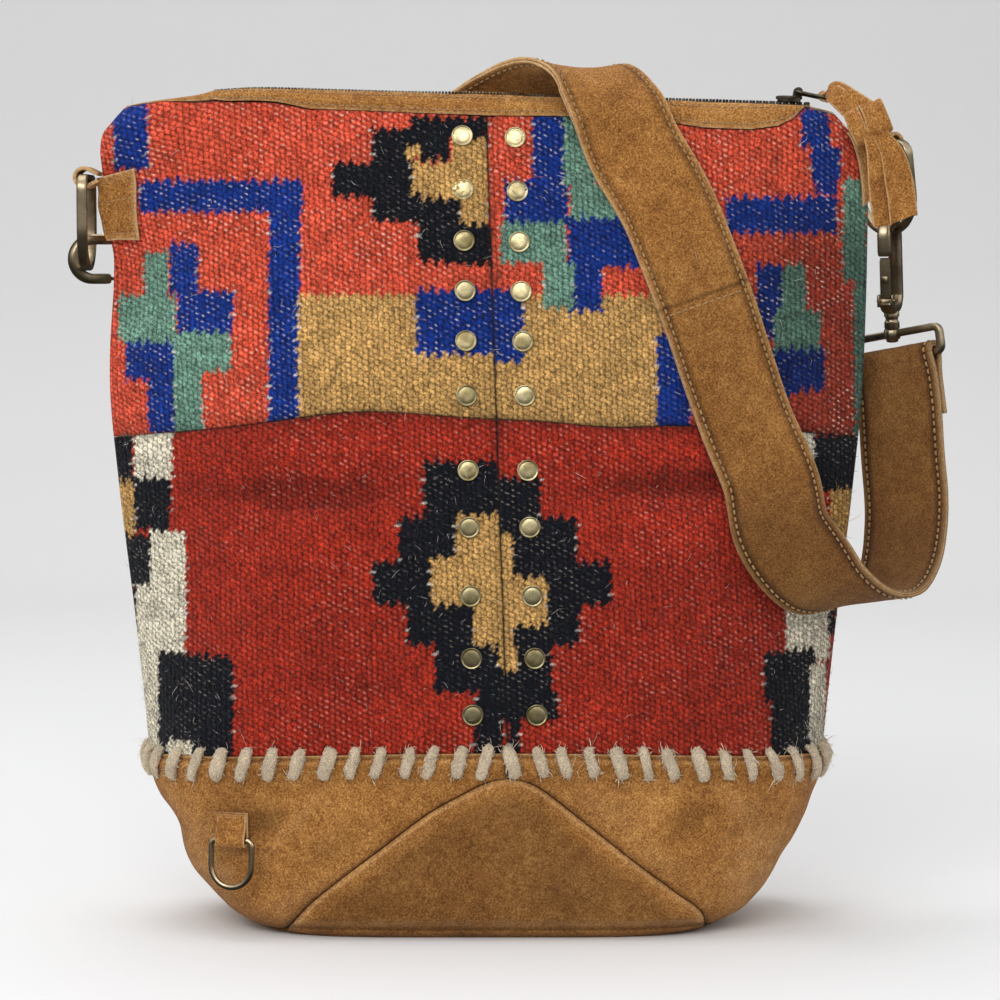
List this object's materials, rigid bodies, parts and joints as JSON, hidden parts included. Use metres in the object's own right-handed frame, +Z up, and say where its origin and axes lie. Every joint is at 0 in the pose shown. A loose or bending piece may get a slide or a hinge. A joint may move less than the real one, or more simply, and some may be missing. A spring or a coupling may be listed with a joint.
{
  "type": "shoulder bag",
  "caption": "Woven wool shoulder bag with a boxed suede base, a zipped top, domed studs, rings at its corners and a wide suede strap on swivel snap hooks.",
  "frame": {"origin": "middle of the flat bottom, on the surface that the bag stands on", "axes": "+Z up, -Y out of the front, +X to the right of a viewer of the front, where the zip closes"},
  "size_m": [0.423, 0.1256, 0.4154],
  "materials": {
    "kilim": "flat-woven wool in stepped fields of colour",
    "suede": "napped tan suede",
    "lining": "plain cotton",
    "zip_tape": "woven tape",
    "zip_metal": "darkened",
    "brass": "antiqued",
    "hardware": "antique plating over cast metal"
  },
  "bodies": {
    "bag": {"front_upper_left_panel": "kilim", "front_upper_right_panel": "kilim", "front_lower_left_panel": "kilim", "front_lower_right_panel": "kilim", "back_upper_left_panel": "kilim", "back_upper_right_panel": "kilim", "back_lower_left_panel": "kilim", "back_lower_right_panel": "kilim", "stud_left_01": "brass", "stud_left_02": "brass", "stud_left_03": "brass", "stud_left_04": "brass", "stud_left_05": "brass", "stud_left_06": "brass", "stud_left_07": "brass", "stud_left_08": "brass", "stud_left_09": "brass", "stud_left_10": "brass", "stud_left_11": "brass", "stud_right_01": "brass", "stud_right_02": "brass", "stud_right_03": "brass", "stud_right_04": "brass", "stud_right_05": "brass", "stud_right_06": "brass", "stud_right_07": "brass", "stud_right_08": "brass", "stud_right_09": "brass", "stud_right_10": "brass", "stud_right_11": "brass", "front_facing": "suede", "back_facing": "suede", "lining": "lining", "base_left_panel": "suede", "base_right_panel": "suede", "base_bottom_panel": "suede", "zip_chain": "zip_metal", "front_zip_tape": "zip_tape", "back_zip_tape": "zip_tape", "left_ring_tab": "suede", "right_ring_tab": "suede", "strap": "suede", "lower_left_tab": "suede", "lower_right_tab": "suede"},
    "slider": {"zip_slider": "zip_metal"},
    "puller": {"zip_puller": "zip_metal", "zip_pull": "suede"},
    "left_ring_body": {"left_ring": "hardware"},
    "right_ring_body": {"right_ring": "hardware"},
    "lower_left_ring_body": {"lower_left_ring": "hardware"},
    "lower_right_ring_body": {"lower_right_ring": "hardware"},
    "left_loop": {"left_strap_loop": "hardware"},
    "right_loop": {"right_strap_loop": "hardware"},
    "left_hook_body": {"left_hook": "hardware"},
    "right_hook_body": {"right_hook": "hardware"},
    "left_gate": {"left_hook_gate": "hardware"},
    "right_gate": {"right_hook_gate": "hardware"}
  },
  "joints": [
    {"name": "zip_slide", "type": "slide", "parent": "bag", "child": "slider", "axis": [0.9995, 0, -0.0307], "range_m": [-0.264, 0], "deforming": ["zip_pull"]},
    {"name": "zip_pull_swing", "type": "hinge", "parent": "slider", "child": "puller", "pos_m": [0.14933, 0, 0.39902], "axis": [0, -1, 0], "range_deg": [0, 150]},
    {"name": "left_ring_turn", "type": "hinge", "parent": "bag", "child": "left_ring_body", "pos_m": [-0.1915, 0, 0.3585], "axis": [0, 1, 0], "range_deg": [-4, 0]},
    {"name": "right_ring_turn", "type": "hinge", "parent": "bag", "child": "right_ring_body", "pos_m": [0.1898, 0.0054, 0.3751], "axis": [-0.5736, 0.8191, 0], "range_deg": [-1, 1]},
    {"name": "lower_left_ring_turn", "type": "hinge", "parent": "bag", "child": "lower_left_ring_body", "pos_m": [-0.11929, -0.05638, 0.04776], "axis": [-0.9503, 0.3114, 0], "range_deg": [0, 110]},
    {"name": "lower_right_ring_turn", "type": "hinge", "parent": "bag", "child": "lower_right_ring_body", "pos_m": [0.14078, 0.04406, 0.04694], "axis": [0.7207, -0.6933, 0], "range_deg": [0, 110]},
    {"name": "left_loop_turn", "type": "hinge", "parent": "bag", "child": "left_loop", "pos_m": [-0.1364, 0.0338, 0.3195], "axis": [0, 0, 1], "range_deg": [-1, 1]},
    {"name": "right_loop_turn", "type": "hinge", "parent": "bag", "child": "right_loop", "pos_m": [0.19843, 0.0111, 0.27147], "axis": [0.7544, -0.6337, 0.171], "range_deg": [-1, 1]},
    {"name": "left_hook_swivel", "type": "hinge", "parent": "left_loop", "child": "left_hook_body", "pos_m": [-0.15725, 0.02408, 0.3195], "axis": [-0.9063, -0.4226, 0], "range_deg": [-8, 2]},
    {"name": "right_hook_swivel", "type": "hinge", "parent": "right_loop", "child": "right_hook_body", "pos_m": [0.19639, 0.0116, 0.29426], "axis": [-0.0442, -0.0722, 0.9964], "range_deg": [-8, 0]},
    {"name": "left_gate_open", "type": "hinge", "parent": "left_hook_body", "child": "left_gate", "pos_m": [-0.16431, 0.02078, 0.31], "axis": [-0.4226, 0.9063, 0], "range_deg": [0, 26], "stiffness_Nm_per_rad": 0.02, "springref_deg": -20.05},
    {"name": "right_gate_open", "type": "hinge", "parent": "right_hook_body", "child": "right_gate", "pos_m": [0.1925, 0.00226, 0.30123], "axis": [-0.9271, 0.3746, -0.014], "range_deg": [0, 26], "stiffness_Nm_per_rad": 0.02, "springref_deg": -20.05}
  ]
}
